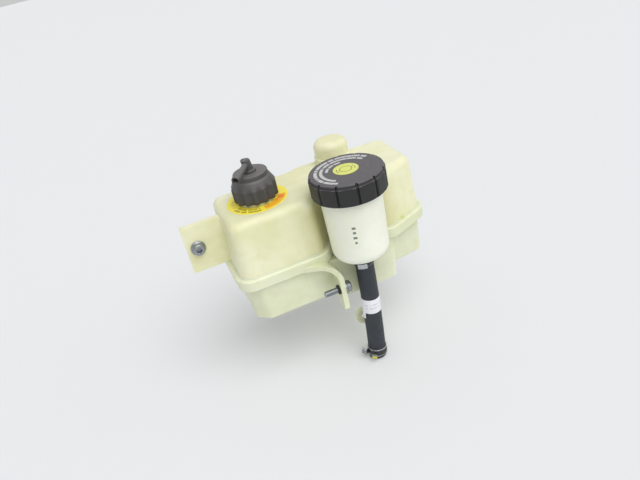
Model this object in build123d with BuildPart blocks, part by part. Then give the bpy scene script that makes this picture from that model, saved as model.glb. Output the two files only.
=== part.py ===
from build123d import *
import math
import os

os.makedirs("parts", exist_ok=True)

# Millimetres. The origin is on the tab screw's axis, where its free thread starts.
# X runs to the right along the tank, Y to the back, Z up.

# Clearances
slip_gap = 0.15  # between pieces pushed over each other
turn_gap = 0.4  # between a screw cap and its neck
weld_gap = 0.3  # between the upper shell's edge and the belt round it
rail_gap = 0.3  # between the cup's tongue and its groove
film = 0.3  # thickness of the printed labels

# Tank, sizes at the weld between the shells
tank_left = 25.5
tank_right = 221.5
tank_front = -54.5
tank_back = 31.0
tank_top = 30.0
weld_z = -31.0
wall = 3.0
draft = 3.0  # degrees
corner_radius = 12.0
top_edge_radius = 8.0
back_step = 4.0  # the right part of the back wall stands this much further back
back_step_x = 118.0
back_step_run = 8.0
back_step_radius = 12.0
right_front_y = -35.5
right_front_radius = 14.0
scoop_gap = 6.0  # between the cup and the scoop in the tank behind it
scoop_end_angle = 15.0  # where the scoop meets the slanted right front
scoop_blend_left = 14.0
scoop_blend_right = 11.6

# Belt round the weld
belt_reach = 4.2
belt_top = -25.5
belt_bottom = -37.5
belt_edge = 1.3  # chamfer

# Lower shell, sizes under the belt
lower_left = 28.2
lower_right = 218.5
lower_front = -54.5
lower_back = 28.5
lower_bottom = -77.5
lower_draft = 2.5  # degrees
lower_step_x = 179.0  # the front steps back to the right of this
lower_step_run = 6.0
lower_step_y = -41.5
lower_step_end_y = -37.0
lower_chamfer = 12.0  # across the front left corner
lower_corner_radius = 9.0
foot_edge = 2.4  # chamfer
sump_left = 114.0
sump_back = 6.0
sump_bottom = -84.0
sump_rim = 2.0  # floor left round the sump's inside

# Dome on the tank's top
dome_x = 156.5
dome_y = 13.5
dome_radius = 17.0
dome_top = 53.5
dome_edge_radius = 7.0
dome_collar_radius = 18.2
dome_collar_top = 37.0

# Filler neck and its cap
neck_x = 66.7
neck_y = -12.3
neck_radius = 17.2
neck_bore = 13.5
neck_top = 46.0
seal_thickness = 1.5
seal_radius = 16.8
filler_chamber_radius = 12.0
filler_top_plate = 3.0
filler_cap_radius = 21.5
filler_cap_bottom = 33.0
filler_skirt_top = 46.5
filler_shoulder_radius = 17.6
filler_shoulder_top = 53.5
filler_disc_step = 1.2
filler_cap_top = 59.0
filler_flute_count = 14
filler_flute_radius = 4.0
filler_flute_depth = 1.1
filler_flute_top = 45.0
neck_label_radius = 29.0
neck_label_bore = 18.5

# Vent elbow
vent_stem_radius = 3.0
vent_post_radius = 4.4
vent_collar_radius = 6.2
vent_collar_height = 2.2
vent_height = 13.0
vent_crown_radius = 1.1
vent_arm_radius = 3.2
vent_arm_rise = 8.0
vent_arm_drop = 2.5
vent_arm_reach = 31.0
vent_arm_angle = 233.0
vent_bore = 1.6

# Cup
cup_x = 140.0
cup_y = -66.5
cup_radius = 28.5
cup_foot_radius = 27.0
cup_bottom = -34.0
cup_edge_radius = 11.0
cup_wall = 2.5
cup_thread_height = 1.4
cup_thread_bottom = 37.5
cup_thread_top = 48.0
cup_mouth = 50.0
strainer_ledge_top = 33.0
strainer_ledge_reach = 2.4
strainer_ledge_height = 3.0
spigot_length = 22.0
spigot_bore = 4.0
rail_width = 10.0
rail_flare = 3.0
rail_height = 40.0
rail_head_depth = 3.4
rail_root_sink = 0.6  # into the cup's wall
rail_block_wall = 4.5
rail_tip_gap = 1.0  # between the tongue's tip and the scoop's radius
rail_back_wall = 1.0  # behind the tank's wall
rail_block_lift = 1.0  # above the belt

# Cup's cap
cap_wall = 4.7
cap_bottom = 34.0
cap_top = 54.0
cap_plate = 2.0
cap_edge_radius = 1.6
cap_shoulder = 1.2
cap_shoulder_height = 3.4
cap_groove_count = 12
cap_groove_width = 1.5
cap_groove_depth = 1.0
cap_flat_depth = 0.5
disc_label_radius = 11.5
diaphragm_rim_gap = 0.9  # inside the cap's bore
diaphragm_rim_width = 5.4
diaphragm_skin = 1.2
diaphragm_depth = 11.0
diaphragm_fold_width = 13.0

# Strainer
strainer_skin = 1.0
strainer_flange = 1.2
strainer_depth = 24.0
strainer_ledge_gap = 1.6  # inside the cup's ledge
strainer_taper = 4.0  # the foot's radius is this much smaller
strainer_slot_count = 12
strainer_slot_width = 4.0
strainer_slot_height = 15.0

# Hose, its clamps and its label
hose_radius = 9.0
hose_bore = 6.0
hose_top_gap = 1.0
hose_bend_z = -96.0
hose_end_x = 135.4
hose_end_z = -158.0
hose_bend_share = 0.45  # of the shorter run, taken up by the bend
clamp_gap = 0.1
clamp_band = 0.9
clamp_width = 8.0
clamp_tang_length = 5.0
clamp_tang_width = 5.0
clamp_plate_width = 7.0  # of the plate bent across each tang's end
upper_clamp_drop = 1.5  # below the hose's upper end
lower_clamp_lift = 3.0  # above the hose's lower end
upper_tang_angles = [242.0, 302.0]
lower_tang_angles = [180.0, 234.0]
hose_label_width = 16.0
hose_label_drop = 51.0  # below the hose's upper end

# Fixing screws, both M6 and captive
thread_radius = 3.0
thread_length = 13.5
thread_tip = 0.8
waist_radius = 2.5
head_radius = 7.25
flange_thickness = 1.6
head_neck = 1.45  # from the flange's edge in to the head
head_edge = 1.5
flange_slope = 0.6
head_height = 6.5
socket_width = 5.0
socket_depth = 3.2
sleeve_radius = 4.2
sleeve_bore = 3.4
retainer_radius = 4.8
retainer_thickness = 1.5
retainer_gap = 0.25
plate_thickness = 5.0

# Tab on the tank's left side
tab_end = -11.0
tab_top = 24.0
tab_bottom = -25.2
tab_corner_radius = 2.0
tab_rear = -(retainer_thickness + 2 * retainer_gap)

# Screw bracket in front of the lower shell
bracket_x = 113.0
bracket_reach = 17.0  # from the lower shell's front
bracket_screw_y = -65.5
bracket_screw_z = -64.5
bracket_top = -32.0
bracket_tip_z = -87.0
bracket_tip_radius = 2.5
bracket_tip_width = 6.0
bracket_shoulder_radius = 21.0
bracket_root_drop = 12.0  # how far the plate's root runs below the screw
gusset_left = 73.0
gusset_thickness = 5.0

# Lower ear, for the third screw
ear_x = 133.8
ear_stem_x = 142.0
ear_stem_width = 13.0
ear_y = -50.0
ear_z = -117.2
ear_radius = 8.5
ear_bore = 3.5

# Outlet spigot in the back wall
outlet_x = 150.0
outlet_z = -62.0
outlet_radius = 6.0
outlet_bore = 4.0
outlet_length = 20.0
outlet_stop_radius = 8.5
outlet_stop = 2.5  # shoulder that the hose is pushed against

scoop_radius = cup_radius + scoop_gap
scoop_start_angle = 180 - math.degrees(math.asin((tank_front - cup_y) / scoop_radius))


def round_scoop(angle):
    turn = math.radians(angle)
    return (cup_x + scoop_radius * math.cos(turn), cup_y + scoop_radius * math.sin(turn))


# Plan of the tank at the weld, with the scoop for the cup in its front
with BuildSketch() as tank_plan:
    with BuildLine():
        scoop = ThreePointArc(
            round_scoop(scoop_start_angle),
            (cup_x, cup_y + scoop_radius),
            round_scoop(scoop_end_angle),
        )
        Polyline(
            scoop @ 1,
            (tank_right, right_front_y),
            (tank_right, tank_back + back_step),
            (back_step_x, tank_back + back_step),
            (back_step_x - back_step_run, tank_back),
            (tank_left, tank_back),
            (tank_left, tank_front),
            scoop @ 0,
        )
    make_face()
    corners = tank_plan.vertices()
    fillet(corners.sort_by_distance(scoop @ 0)[0], scoop_blend_left)
    fillet(tank_plan.vertices().sort_by_distance(scoop @ 1)[0], scoop_blend_right)
    fillet(tank_plan.vertices().sort_by_distance((tank_right, right_front_y))[0], right_front_radius)
    outer_corners = [
        (tank_right, tank_back + back_step),
        (tank_left, tank_back),
        (tank_left, tank_front),
    ]
    for corner in outer_corners:
        fillet(tank_plan.vertices().sort_by_distance(corner)[0], corner_radius)
    back_step_corners = [
        (back_step_x, tank_back + back_step),
        (back_step_x - back_step_run, tank_back),
    ]
    for corner in back_step_corners:
        fillet(tank_plan.vertices().sort_by_distance(corner)[0], back_step_radius)

with BuildSketch() as tank_inside_plan:
    add(tank_plan.sketch)
    offset(amount=-wall, mode=Mode.REPLACE)

with BuildSketch() as belt_pocket_plan:
    add(tank_plan.sketch)
    offset(amount=weld_gap, mode=Mode.REPLACE)

with BuildSketch() as belt_plan:
    add(tank_plan.sketch)
    offset(amount=belt_reach, mode=Mode.REPLACE)

# Plan of the lower shell under the belt, with a step back in the right of its front
with BuildSketch() as lower_plan:
    with BuildLine():
        Polyline(
            (lower_left, lower_front),
            (lower_step_x, lower_front),
            (lower_step_x + lower_step_run, lower_step_y),
            (lower_right, lower_step_end_y),
            (lower_right, lower_back),
            (lower_left, lower_back),
            close=True,
        )
    make_face()
    front_left = lower_plan.vertices().sort_by_distance((lower_left, lower_front))[0]
    chamfer(front_left, lower_chamfer)
    fillet(lower_plan.vertices(), lower_corner_radius)

with BuildSketch() as lower_inside_plan:
    add(lower_plan.sketch)
    offset(amount=-wall, mode=Mode.REPLACE)

# The sump is the part of the lower shell's plan round the middle, carried lower
with BuildSketch() as sump_plan:
    add(lower_plan.sketch)
    with Locations(((sump_left + lower_step_x) / 2, (lower_front + sump_back) / 2)):
        Rectangle(lower_step_x - sump_left, sump_back - lower_front, mode=Mode.INTERSECT)

with BuildSketch() as sump_inside_plan:
    add(sump_plan.sketch)
    offset(amount=-wall - sump_rim, mode=Mode.REPLACE)

# Profile of the cup's tongue, wider at its tip, and of the groove that holds it
rail_bottom = belt_top + rail_block_lift + rail_block_wall
rail_tip_y = cup_y + scoop_radius - rail_tip_gap
rail_block_back = cup_y + scoop_radius + wall + rail_back_wall
rail_root_y = rail_tip_y - rail_head_depth - rail_gap


def dovetail(grow):
    half_root = rail_width / 2 + grow
    half_tip = rail_width / 2 + rail_flare / 2 + grow
    return [
        (cup_x - half_root, cup_y + cup_foot_radius - rail_root_sink),
        (cup_x + half_root, cup_y + cup_foot_radius - rail_root_sink),
        (cup_x + half_root, rail_root_y),
        (cup_x + half_tip, rail_tip_y + grow),
        (cup_x - half_tip, rail_tip_y + grow),
        (cup_x - half_root, rail_root_y),
    ]


# Upper shell: drafted, hollow, with neck, dome, tab and the groove for the cup
with BuildPart() as tank_upper_shell:
    with BuildSketch(Plane.XY.offset(weld_z)):
        add(tank_plan.sketch)
    extrude(amount=tank_top - weld_z, taper=draft)
    fillet(tank_upper_shell.faces().sort_by(Axis.Z)[-1].edges(), top_edge_radius)
    # groove block on the scoop's wall
    with BuildSketch(Plane.XY.offset(rail_bottom - rail_block_wall)):
        with Locations((cup_x, (rail_root_y + rail_block_back) / 2)):
            Rectangle(rail_width + rail_flare + 2 * rail_block_wall, rail_block_back - rail_root_y)
    extrude(amount=rail_height + rail_block_wall)
    # neck and dome
    with BuildSketch(Plane.XY.offset(tank_top - wall)):
        with Locations((neck_x, neck_y)):
            Circle(neck_radius)
    extrude(amount=neck_top - tank_top + wall)
    with BuildSketch(Plane.XZ.offset(-dome_y)):
        with BuildLine():
            Polyline(
                (dome_x + dome_radius, dome_top),
                (dome_x, dome_top),
                (dome_x, tank_top - wall),
                (dome_x + dome_collar_radius, tank_top - wall),
                (dome_x + dome_collar_radius, dome_collar_top),
                (dome_x + dome_radius, dome_collar_top + dome_collar_radius - dome_radius),
                close=True,
            )
        dome_face = make_face()
        fillet(dome_face.vertices().group_by(Axis.Y)[-1].sort_by(Axis.X)[-1], dome_edge_radius)
    revolve(axis=Axis((dome_x, dome_y, 0), (0, 0, 1)))
    # tab
    with BuildSketch(Plane.XZ.offset(-tab_rear)):
        with Locations(((tab_end + tank_left + wall) / 2, (tab_top + tab_bottom) / 2)):
            RectangleRounded(tank_left + wall - tab_end, tab_top - tab_bottom, tab_corner_radius)
        Circle(sleeve_radius + slip_gap, mode=Mode.SUBTRACT)
    extrude(amount=plate_thickness)
    # inside
    with BuildSketch(Plane.XY.offset(weld_z)):
        add(tank_inside_plan.sketch)
    extrude(amount=tank_top - wall - weld_z, taper=draft, mode=Mode.SUBTRACT)
    with BuildSketch(Plane.XY.offset(tank_top - 2 * wall)):
        with Locations((neck_x, neck_y)):
            Circle(neck_bore)
    extrude(amount=neck_top - tank_top + 3 * wall, mode=Mode.SUBTRACT)
    with BuildSketch(Plane.XY.offset(tank_top - 2 * wall)):
        with Locations((dome_x, dome_y)):
            Circle(dome_radius - wall)
    extrude(amount=dome_top - tank_top + wall, mode=Mode.SUBTRACT)
    with BuildSketch(Plane.XY.offset(rail_bottom)):
        Polygon(*dovetail(rail_gap), align=None)
    extrude(amount=rail_height, mode=Mode.SUBTRACT)
tank_upper_shell.part.label = "tank_upper_shell"
export_step(tank_upper_shell.part, "parts/tank_upper_shell.step")

# Screw bracket of the lower shell: a gusset that bends down into a plate, cut to shape
# from above and from the side
bracket_front = lower_front - bracket_reach
bracket_root = lower_front + wall - weld_gap
bracket_left = bracket_x - plate_thickness / 2
bracket_right = bracket_x + plate_thickness / 2
gusset_bottom = bracket_top - gusset_thickness
with BuildPart() as bracket:
    with BuildSketch(Plane.XZ.offset(-bracket_root)) as bracket_band:
        with BuildLine():
            Polyline(
                (gusset_left, bracket_top),
                (bracket_right, bracket_top),
                (bracket_right, bracket_tip_z),
                (bracket_left, bracket_tip_z),
                (bracket_left, gusset_bottom),
                (gusset_left, gusset_bottom),
                close=True,
            )
        make_face()
        outer_bend = (bracket_right, bracket_top)
        inner_bend = (bracket_left, gusset_bottom)
        fillet(bracket_band.vertices().sort_by_distance(outer_bend)[0], bracket_shoulder_radius)
        inner_radius = bracket_shoulder_radius - plate_thickness
        fillet(bracket_band.vertices().sort_by_distance(inner_bend)[0], inner_radius)
    extrude(amount=bracket_root - bracket_front)
    with BuildSketch(Plane.XY.offset(bracket_tip_z)):
        Polygon(
            (gusset_left, lower_front),
            (bracket_left, bracket_front),
            (bracket_right, bracket_front),
            (bracket_right, bracket_root),
            (gusset_left, bracket_root),
            align=None,
        )
    extrude(amount=bracket_top - bracket_tip_z, mode=Mode.INTERSECT)
    with BuildSketch(Plane.YZ.offset(gusset_left)) as bracket_side:
        with BuildLine():
            Polyline(
                (bracket_root, bracket_top),
                (bracket_front, bracket_top),
                (bracket_front, bracket_tip_z),
                (bracket_front + bracket_tip_width, bracket_tip_z),
                (bracket_root, bracket_screw_z - bracket_root_drop),
                close=True,
            )
        make_face()
        fillet(bracket_side.vertices().group_by(Axis.Y)[0], bracket_tip_radius)
        with Locations((bracket_screw_y, bracket_screw_z)):
            Circle(sleeve_radius + slip_gap, mode=Mode.SUBTRACT)
    extrude(amount=bracket_right - gusset_left, mode=Mode.INTERSECT)

# Lower shell: belt round the weld, drafted box, sump, bracket, ear and outlet
shelf_bottom = belt_bottom - wall
with BuildPart() as tank_lower_shell:
    with BuildSketch(Plane.XY.offset(belt_bottom)):
        add(belt_plan.sketch)
    extrude(amount=belt_top - belt_bottom)
    chamfer(tank_lower_shell.edges().group_by(Axis.Z)[0], belt_edge)
    chamfer(tank_lower_shell.edges().group_by(Axis.Z)[-1], belt_edge)
    with BuildSketch(Plane.XY.offset(belt_bottom)):
        add(lower_plan.sketch)
    extrude(amount=lower_bottom - belt_bottom, taper=lower_draft)
    chamfer(tank_lower_shell.edges().group_by(Axis.Z)[0], foot_edge)
    with BuildSketch(Plane.XY.offset(belt_bottom)):
        add(sump_plan.sketch)
    extrude(amount=sump_bottom - belt_bottom, taper=lower_draft)
    add(bracket.part)
    # ear
    with BuildSketch(Plane.XZ.offset(-ear_y)):
        with Locations((ear_stem_x, (ear_z + sump_bottom + wall / 2) / 2)):
            Rectangle(ear_stem_width, sump_bottom + wall / 2 - ear_z)
        with Locations((ear_x, ear_z)):
            Circle(ear_radius)
            Circle(ear_bore, mode=Mode.SUBTRACT)
    extrude(amount=plate_thickness / 2, both=True)
    # outlet
    with BuildSketch(Plane.XZ.offset(-(lower_back - wall))):
        with Locations((outlet_x, outlet_z)):
            Circle(outlet_radius)
    extrude(amount=-(outlet_length + wall))
    with BuildSketch(Plane.XZ.offset(-(lower_back - wall))):
        with Locations((outlet_x, outlet_z)):
            Circle(outlet_stop_radius)
    extrude(amount=-(outlet_stop + wall))
    # inside
    with BuildSketch(Plane.XY.offset(shelf_bottom)):
        add(lower_inside_plan.sketch)
    extrude(amount=lower_bottom + wall - shelf_bottom, taper=lower_draft, mode=Mode.SUBTRACT)
    with BuildSketch(Plane.XY.offset(shelf_bottom)):
        add(sump_inside_plan.sketch)
    extrude(amount=sump_bottom + wall - shelf_bottom, taper=lower_draft, mode=Mode.SUBTRACT)
    with BuildSketch(Plane.XY.offset(shelf_bottom)):
        add(tank_inside_plan.sketch)
        add(lower_inside_plan.sketch, mode=Mode.INTERSECT)
    extrude(amount=belt_top - shelf_bottom, mode=Mode.SUBTRACT)
    with BuildSketch(Plane.XY.offset(weld_z)):
        add(belt_pocket_plan.sketch)
    extrude(amount=belt_top - weld_z, mode=Mode.SUBTRACT)
    with BuildSketch(Plane.XZ.offset(-(lower_back + outlet_length))):
        with Locations((outlet_x, outlet_z)):
            Circle(outlet_bore)
    extrude(amount=outlet_length + 3 * wall, mode=Mode.SUBTRACT)
tank_lower_shell.part.label = "tank_lower_shell"
export_step(tank_lower_shell.part, "parts/tank_lower_shell.step")

# Filler cap: fluted skirt, cone and top disc, with a vent chamber inside
filler_ceiling = neck_top + seal_thickness
filler_disc_radius = filler_shoulder_radius - filler_disc_step
with BuildPart() as filler_cap:
    with BuildSketch(Plane.XZ.offset(-neck_y)):
        with BuildLine():
            Polyline(
                (neck_x, filler_cap_top),
                (neck_x + filler_disc_radius, filler_cap_top),
                (neck_x + filler_disc_radius, filler_shoulder_top + filler_disc_step),
                (neck_x + filler_shoulder_radius, filler_shoulder_top),
                (neck_x + filler_cap_radius, filler_skirt_top),
                (neck_x + filler_cap_radius, filler_cap_bottom),
                (neck_x + neck_radius + turn_gap, filler_cap_bottom),
                (neck_x + neck_radius + turn_gap, filler_ceiling),
                (neck_x + filler_chamber_radius, filler_ceiling),
                (neck_x + filler_chamber_radius, filler_cap_top - filler_top_plate),
                (neck_x, filler_cap_top - filler_top_plate),
                close=True,
            )
        make_face()
    revolve(axis=Axis((neck_x, neck_y, 0), (0, 0, 1)))
    with BuildSketch(Plane.XY.offset(filler_cap_bottom)):
        with Locations((neck_x, neck_y)):
            with PolarLocations(
                filler_cap_radius + filler_flute_radius - filler_flute_depth, filler_flute_count
            ):
                Circle(filler_flute_radius)
    extrude(amount=filler_flute_top - filler_cap_bottom, mode=Mode.SUBTRACT)
    with BuildSketch(Plane.XY.offset(filler_cap_top)):
        with Locations((neck_x, neck_y)):
            Circle(vent_stem_radius + slip_gap)
    extrude(amount=-filler_top_plate, mode=Mode.SUBTRACT)
filler_cap.part.label = "filler_cap"
export_step(filler_cap.part, "parts/filler_cap.step")

# Seal ring between the neck and the filler cap
with BuildPart() as filler_cap_seal:
    with BuildSketch(Plane.XY.offset(neck_top)):
        with Locations((neck_x, neck_y)):
            Circle(seal_radius)
            Circle(neck_bore, mode=Mode.SUBTRACT)
    extrude(amount=seal_thickness)
filler_cap_seal.part.label = "filler_cap_seal"
export_step(filler_cap_seal.part, "parts/filler_cap_seal.step")

# Vent elbow: post with a collar, and an arm that ends open past the cap's edge
arm_turn = math.radians(vent_arm_angle)
arm_start = Vector(neck_x, neck_y, filler_cap_top + vent_arm_rise)
arm_run = Vector(
    vent_arm_reach * math.cos(arm_turn), vent_arm_reach * math.sin(arm_turn), -vent_arm_drop
)
arm_plane = Plane(origin=arm_start, z_dir=arm_run)
with BuildPart() as vent_elbow:
    with BuildSketch(Plane.XY.offset(filler_cap_top)):
        with Locations((neck_x, neck_y)):
            Circle(vent_post_radius)
    extrude(amount=vent_height)
    fillet(vent_elbow.faces().sort_by(Axis.Z)[-1].edges(), vent_crown_radius)
    with BuildSketch(Plane.XY.offset(filler_cap_top)):
        with Locations((neck_x, neck_y)):
            Circle(vent_collar_radius)
    extrude(amount=vent_collar_height)
    with BuildSketch(Plane.XY.offset(filler_cap_top)):
        with Locations((neck_x, neck_y)):
            Circle(vent_stem_radius)
    extrude(amount=-filler_top_plate)
    with BuildSketch(arm_plane):
        Circle(vent_arm_radius)
    extrude(amount=arm_run.length)
    with BuildSketch(arm_plane):
        Circle(vent_bore)
    extrude(amount=arm_run.length, mode=Mode.SUBTRACT)
    with BuildSketch(Plane.XY.offset(filler_cap_top + vent_arm_rise)):
        with Locations((neck_x, neck_y)):
            Circle(vent_bore)
    extrude(amount=-(vent_arm_rise + filler_top_plate), mode=Mode.SUBTRACT)
vent_elbow.part.label = "vent_elbow"
export_step(vent_elbow.part, "parts/vent_elbow.step")

# Ring label round the neck
with BuildPart() as neck_label:
    with BuildSketch(Plane.XY.offset(tank_top)):
        with Locations((neck_x, neck_y)):
            Circle(neck_label_radius)
            Circle(neck_label_bore, mode=Mode.SUBTRACT)
    extrude(amount=film)
neck_label.part.label = "neck_label"
export_step(neck_label.part, "parts/neck_label.step")

# Cup: turned form with a thread band, a ledge for the strainer, a hose spigot and the tongue
cup_axis = Axis((cup_x, cup_y, 0), (0, 0, 1))
cup_inner = cup_radius - cup_wall
cup_thread_radius = cup_radius + cup_thread_height
foot_inner = cup_foot_radius - cup_wall
spigot_radius = hose_bore - slip_gap
spigot_end = cup_bottom - spigot_length
ledge_bottom = strainer_ledge_top - strainer_ledge_height
with BuildPart() as fluid_cup:
    with BuildSketch(Plane.XZ.offset(-cup_y)) as cup_profile:
        with BuildLine():
            Polyline(
                (cup_x + spigot_bore, spigot_end),
                (cup_x + spigot_radius, spigot_end),
                (cup_x + spigot_radius, cup_bottom),
                (cup_x + cup_foot_radius, cup_bottom),
                (cup_x + cup_radius, cap_bottom),
                (cup_x + cup_radius, cup_thread_bottom),
                (cup_x + cup_thread_radius, cup_thread_bottom + cup_thread_height),
                (cup_x + cup_thread_radius, cup_thread_top - cup_thread_height),
                (cup_x + cup_radius, cup_thread_top),
                (cup_x + cup_radius, cup_mouth),
                (cup_x + cup_inner, cup_mouth),
                (cup_x + cup_inner, strainer_ledge_top),
                (cup_x + cup_inner - strainer_ledge_reach, strainer_ledge_top),
                (cup_x + cup_inner - strainer_ledge_reach, ledge_bottom),
                (cup_x + cup_inner, ledge_bottom - strainer_ledge_reach),
                (cup_x + foot_inner, cup_bottom + cup_wall),
                (cup_x + spigot_bore, cup_bottom + cup_wall),
                close=True,
            )
        make_face()
        outer_foot = (cup_x + cup_foot_radius, cup_bottom)
        inner_foot = (cup_x + foot_inner, cup_bottom + cup_wall)
        fillet(cup_profile.vertices().sort_by_distance(outer_foot)[0], cup_edge_radius)
        fillet(cup_profile.vertices().sort_by_distance(inner_foot)[0], cup_edge_radius - cup_wall)
    revolve(axis=cup_axis)
    with BuildSketch(Plane.XY.offset(rail_bottom)):
        Polygon(*dovetail(0), align=None)
    extrude(amount=rail_height)
fluid_cup.part.label = "fluid_cup"
export_step(fluid_cup.part, "parts/fluid_cup.step")

# Strainer basket, its flange on the cup's ledge
strainer_bottom = strainer_ledge_top - strainer_depth
strainer_top_radius = cup_inner - strainer_ledge_reach - strainer_ledge_gap
strainer_foot_radius = strainer_top_radius - strainer_taper
with BuildPart() as cup_strainer:
    with BuildSketch(Plane.XZ.offset(-cup_y)):
        with BuildLine():
            Polyline(
                (cup_x, strainer_bottom),
                (cup_x + strainer_foot_radius, strainer_bottom),
                (cup_x + strainer_top_radius, strainer_ledge_top),
                (cup_x + cup_inner - 2 * slip_gap, strainer_ledge_top),
                (cup_x + cup_inner - 2 * slip_gap, strainer_ledge_top + strainer_flange),
                (cup_x + strainer_top_radius - strainer_skin, strainer_ledge_top + strainer_flange),
                (cup_x + strainer_foot_radius - strainer_skin, strainer_bottom + strainer_skin),
                (cup_x, strainer_bottom + strainer_skin),
                close=True,
            )
        make_face()
    revolve(axis=cup_axis)
    with BuildSketch(Plane.XY.offset(strainer_bottom + 2 * strainer_skin)):
        with Locations((cup_x, cup_y)):
            with PolarLocations(strainer_top_radius, strainer_slot_count):
                Rectangle(strainer_top_radius, strainer_slot_width)
    extrude(amount=strainer_slot_height, mode=Mode.SUBTRACT)
cup_strainer.part.label = "cup_strainer"
export_step(cup_strainer.part, "parts/cup_strainer.step")

# Rubber diaphragm: its rim is pinched between the cup's mouth and the cap
cap_ceiling = cap_top - cap_plate
cap_bore = cup_thread_radius + turn_gap
cap_radius = cap_bore + cap_wall
diaphragm_rim_radius = cap_bore - diaphragm_rim_gap
rim_inner = diaphragm_rim_radius - diaphragm_rim_width
diaphragm_fold_radius = rim_inner - diaphragm_fold_width
fold_bottom = cup_mouth - diaphragm_depth
fold_top = cup_mouth - diaphragm_depth / 3
with BuildPart() as cup_diaphragm:
    with BuildSketch(Plane.XZ.offset(-cup_y)):
        with BuildLine():
            Polyline(
                (cup_x + diaphragm_rim_radius, cap_ceiling),
                (cup_x + diaphragm_rim_radius, cup_mouth),
                (cup_x + rim_inner + diaphragm_skin, cup_mouth),
                (cup_x + rim_inner, fold_bottom),
                (cup_x + diaphragm_fold_radius, fold_bottom),
                (cup_x + diaphragm_fold_radius - diaphragm_skin, fold_top),
                (cup_x, fold_top),
                (cup_x, fold_top + diaphragm_skin),
                (cup_x + diaphragm_fold_radius, fold_top + diaphragm_skin),
                (cup_x + diaphragm_fold_radius + diaphragm_skin, fold_bottom + diaphragm_skin),
                (cup_x + rim_inner - diaphragm_skin, fold_bottom + diaphragm_skin),
                (cup_x + rim_inner, cap_ceiling),
                close=True,
            )
        make_face()
    revolve(axis=cup_axis)
cup_diaphragm.part.label = "cup_diaphragm"
export_step(cup_diaphragm.part, "parts/cup_diaphragm.step")

# Cup's cap: wide skirt with flats between narrow grooves, and a stepped shoulder
shoulder_bottom = cap_top - cap_shoulder_height
with BuildPart() as cup_cap:
    with BuildSketch(Plane.XZ.offset(-cup_y)) as cap_profile:
        with BuildLine():
            Polyline(
                (cup_x, cap_top),
                (cup_x + cap_radius - cap_shoulder, cap_top),
                (cup_x + cap_radius - cap_shoulder / 2, shoulder_bottom),
                (cup_x + cap_radius, shoulder_bottom),
                (cup_x + cap_radius, cap_bottom),
                (cup_x + cap_bore, cap_bottom),
                (cup_x + cap_bore, cap_ceiling),
                (cup_x, cap_ceiling),
                close=True,
            )
        make_face()
        cap_edge = (cup_x + cap_radius - cap_shoulder, cap_top)
        fillet(cap_profile.vertices().sort_by_distance(cap_edge)[0], cap_edge_radius)
    revolve(axis=cup_axis)
    with BuildSketch(Plane.XY.offset(cap_bottom)):
        with Locations((cup_x, cup_y)):
            RegularPolygon(cap_radius - cap_flat_depth, cap_groove_count, major_radius=False)
    extrude(amount=cap_top - cap_bottom, mode=Mode.INTERSECT)
    with BuildSketch(Plane.XY.offset(cap_bottom)):
        with Locations((cup_x, cup_y)):
            with PolarLocations(cap_radius, cap_groove_count):
                Rectangle(2 * cap_groove_depth, cap_groove_width)
    extrude(amount=shoulder_bottom + cap_edge_radius - cap_bottom, mode=Mode.SUBTRACT)
cup_cap.part.label = "cup_cap"
export_step(cup_cap.part, "parts/cup_cap.step")

# Disc label in the middle of the cap
with BuildPart() as cap_disc_label:
    with BuildSketch(Plane.XY.offset(cap_top)):
        with Locations((cup_x, cup_y)):
            Circle(disc_label_radius)
    extrude(amount=film)
cap_disc_label.part.label = "cap_disc_label"
export_step(cap_disc_label.part, "parts/cap_disc_label.step")

# Hose: two straight runs with one wide bend
hose_top = cup_bottom - hose_top_gap
hose_points = [
    Vector(cup_x, cup_y, hose_top),
    Vector(cup_x, cup_y, hose_bend_z),
    Vector(hose_end_x, cup_y, hose_end_z),
]
first_run = hose_points[1] - hose_points[0]
second_run = hose_points[2] - hose_points[1]
hose_turn = math.radians(first_run.get_angle(second_run))
hose_bend_radius = hose_bend_share * min(first_run.length, second_run.length) / math.tan(hose_turn / 2)
print("hose bend radius", round(hose_bend_radius, 1))
with BuildLine() as hose_line:
    FilletPolyline(*hose_points, radius=hose_bend_radius)
hose_path = hose_line.wire()
with BuildPart() as outlet_hose:
    with BuildSketch(Plane(hose_points[0], x_dir=(1, 0, 0), z_dir=first_run)):
        Circle(hose_radius)
        Circle(hose_bore, mode=Mode.SUBTRACT)
    sweep(path=hose_path)
outlet_hose.part.label = "outlet_hose"
export_step(outlet_hose.part, "parts/outlet_hose.step")
print("hose length", round(hose_path.length, 1), "volume", round(outlet_hose.part.volume))
print("section times length", round(math.pi * (hose_radius**2 - hose_bore**2) * hose_path.length))


# Spring band clamp, with two tangs that stand out from the band
def band_clamp(centre, tang_angles):
    band_inner = hose_radius + clamp_gap
    band_outer = band_inner + clamp_band
    with BuildPart() as clamp:
        with Locations(centre):
            Cylinder(band_outer, clamp_width)
            for angle in tang_angles:
                with Locations(Location((0, 0, 0), (0, 0, angle))):
                    with Locations((band_outer + clamp_tang_length / 2 - clamp_band / 2, 0, 0)):
                        Box(clamp_tang_length + clamp_band, clamp_band, clamp_tang_width)
                    with Locations((band_outer + clamp_tang_length - clamp_band / 2, 0, 0)):
                        Box(clamp_band, clamp_plate_width, clamp_tang_width)
            Cylinder(band_inner, clamp_width, mode=Mode.SUBTRACT)
    return clamp.part


# Place on the hose, its Z up along the hose and its X to the right
def place_on_hose(distance):
    share = distance / hose_path.length
    return Location(
        Plane(hose_path.position_at(share), x_dir=(1, 0, 0), z_dir=-hose_path.tangent_at(share))
    )


upper_hose_clamp = band_clamp(place_on_hose(upper_clamp_drop + clamp_width / 2), upper_tang_angles)
upper_hose_clamp.label = "upper_hose_clamp"
export_step(upper_hose_clamp, "parts/upper_hose_clamp.step")

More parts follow.
